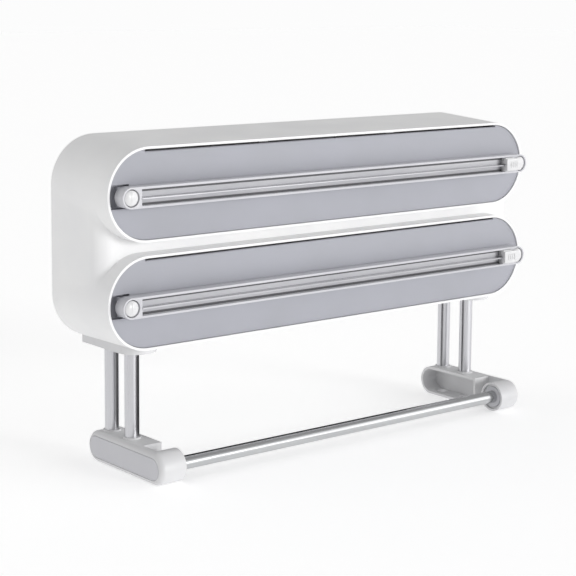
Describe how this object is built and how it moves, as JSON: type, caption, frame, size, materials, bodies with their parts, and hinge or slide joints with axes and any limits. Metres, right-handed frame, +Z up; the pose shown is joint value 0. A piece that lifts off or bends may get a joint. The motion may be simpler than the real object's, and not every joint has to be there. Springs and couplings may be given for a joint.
{
  "type": "kitchen wrap dispenser",
  "caption": "Wall-side dispenser with stacked film drawers, hinged cutter rails with sliders and push buttons, and a sprung towel rod held below on posts.",
  "frame": {"origin": "bottom centre of the part's box, at the undersides of the two brackets", "axes": "+X along the rails to the viewer's right, +Y from the front towards the wall, +Z up"},
  "size_m": [0.3974, 0.0914, 0.2296],
  "materials": {
    "white_shell": "fine satin white plastic",
    "white_cap": "glossy white plastic",
    "grey_panel": "smooth matt grey plastic",
    "light_grey": "satin light grey plastic",
    "inner_plastic": "plain moulded plastic",
    "post_metal": "satin drawn tube",
    "rail_metal": "brushed strip",
    "rod_steel": "polished tube",
    "steel": "plain steel",
    "magnet": "nickel plated",
    "dark_plug": "plain"
  },
  "bodies": {
    "stand": {"housing": "white_shell", "rear_cover": "inner_plastic", "rear_cover_screws": "steel", "striker_plates": "steel", "left_pad": "white_shell", "left_front_post": "post_metal", "left_rear_post": "post_metal", "left_bracket": "white_shell", "left_bracket_cover": "light_grey", "right_pad": "white_shell", "right_front_post": "post_metal", "right_rear_post": "post_metal", "right_bracket": "white_shell", "right_bracket_cover": "light_grey", "post_screws": "steel", "bracket_screws": "steel", "rod_bush": "light_grey", "rod_spring": "steel"},
    "sprung_socket": {"rod_socket": "light_grey"},
    "rod": {"towel_rod": "rod_steel", "rod_plugs": "dark_plug"},
    "lower_drawer": {"lower_tray": "inner_plastic", "lower_front_panel": "grey_panel", "lower_magnets": "magnet", "lower_hinge_pin": "steel"},
    "lower_rail": {"lower_cutter_rail": "light_grey", "lower_rail_catch": "light_grey", "lower_rail_strip": "rail_metal", "lower_left_button_spring": "steel", "lower_right_button_spring": "steel"},
    "lower_cutter": {"lower_slider": "white_cap", "lower_thumb_pad": "white_cap", "lower_blade": "steel"},
    "lower_left_push": {"lower_left_button": "white_cap"},
    "lower_right_push": {"lower_right_button": "white_cap"},
    "upper_drawer": {"upper_tray": "inner_plastic", "upper_front_panel": "grey_panel", "upper_magnets": "magnet", "upper_hinge_pin": "steel"},
    "upper_rail": {"upper_cutter_rail": "light_grey", "upper_rail_catch": "light_grey", "upper_rail_strip": "rail_metal", "upper_left_button_spring": "steel", "upper_right_button_spring": "steel"},
    "upper_cutter": {"upper_slider": "white_cap", "upper_thumb_pad": "white_cap", "upper_blade": "steel"},
    "upper_left_push": {"upper_left_button": "white_cap"},
    "upper_right_push": {"upper_right_button": "white_cap"}
  },
  "joints": [
    {"name": "socket_push", "type": "slide", "parent": "stand", "child": "sprung_socket", "axis": [1, 0, 0], "range_m": [0, 0.005], "stiffness_N_per_m": 400, "deforming": ["rod_spring"]},
    {"name": "rod_turn", "type": "hinge", "parent": "sprung_socket", "child": "rod", "pos_m": [0, -0.03447, 0.01125], "axis": [1, 0, 0], "continuous": true},
    {"name": "lower_drawer_slide", "type": "slide", "parent": "stand", "child": "lower_drawer", "axis": [0, -1, 0], "range_m": [0, 0.048]},
    {"name": "lower_rail_swing", "type": "hinge", "parent": "lower_drawer", "child": "lower_rail", "pos_m": [-0.1841, -0.01688, 0.12035], "axis": [0, 0, -1], "range_deg": [0, 30]},
    {"name": "lower_slider_slide", "type": "slide", "parent": "lower_rail", "child": "lower_cutter", "axis": [-1, 0, 0], "range_m": [0, 0.339]},
    {"name": "lower_left_button_push", "type": "slide", "parent": "lower_rail", "child": "lower_left_push", "axis": [0, 1, 0], "range_m": [0, 0.0016], "stiffness_N_per_m": 250, "deforming": ["lower_left_button_spring"]},
    {"name": "lower_right_button_push", "type": "slide", "parent": "lower_rail", "child": "lower_right_push", "axis": [0, 1, 0], "range_m": [0, 0.0016], "stiffness_N_per_m": 250, "deforming": ["lower_right_button_spring"]},
    {"name": "upper_drawer_slide", "type": "slide", "parent": "stand", "child": "upper_drawer", "axis": [0, -1, 0], "range_m": [0, 0.048]},
    {"name": "upper_rail_swing", "type": "hinge", "parent": "upper_drawer", "child": "upper_rail", "pos_m": [-0.1841, -0.01688, 0.19345], "axis": [0, 0, -1], "range_deg": [0, 30]},
    {"name": "upper_slider_slide", "type": "slide", "parent": "upper_rail", "child": "upper_cutter", "axis": [-1, 0, 0], "range_m": [0, 0.339]},
    {"name": "upper_left_button_push", "type": "slide", "parent": "upper_rail", "child": "upper_left_push", "axis": [0, 1, 0], "range_m": [0, 0.0016], "stiffness_N_per_m": 250, "deforming": ["upper_left_button_spring"]},
    {"name": "upper_right_button_push", "type": "slide", "parent": "upper_rail", "child": "upper_right_push", "axis": [0, 1, 0], "range_m": [0, 0.0016], "stiffness_N_per_m": 250, "deforming": ["upper_right_button_spring"]}
  ]
}
